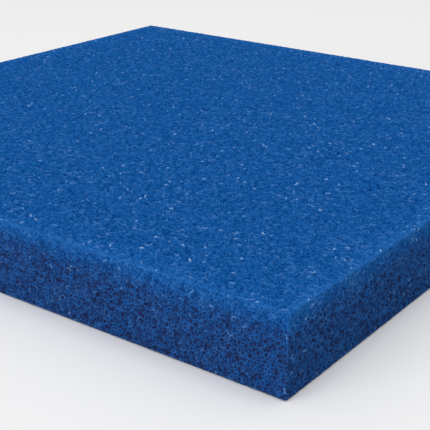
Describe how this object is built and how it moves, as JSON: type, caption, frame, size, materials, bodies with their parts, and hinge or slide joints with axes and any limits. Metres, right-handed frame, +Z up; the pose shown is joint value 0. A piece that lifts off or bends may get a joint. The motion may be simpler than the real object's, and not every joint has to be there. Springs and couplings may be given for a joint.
{
  "type": "filter foam sheet",
  "caption": "Flat square sheet of coarse blue open-cell filter foam, laid in a pond or aquarium filter so that water passes through its thickness.",
  "frame": {"origin": "centre of the underside, on the surface that the sheet lies on", "axes": "+Z up through the thickness; +X and +Y along the two equal sides; the -Y and +X sides are the two in the picture"},
  "size_m": [0.5, 0.5, 0.05],
  "materials": {
    "blue_foam": "matt open-cell foam with small glints"
  },
  "bodies": {
    "root": {"foam_sheet": "blue_foam"}
  },
  "joints": []
}
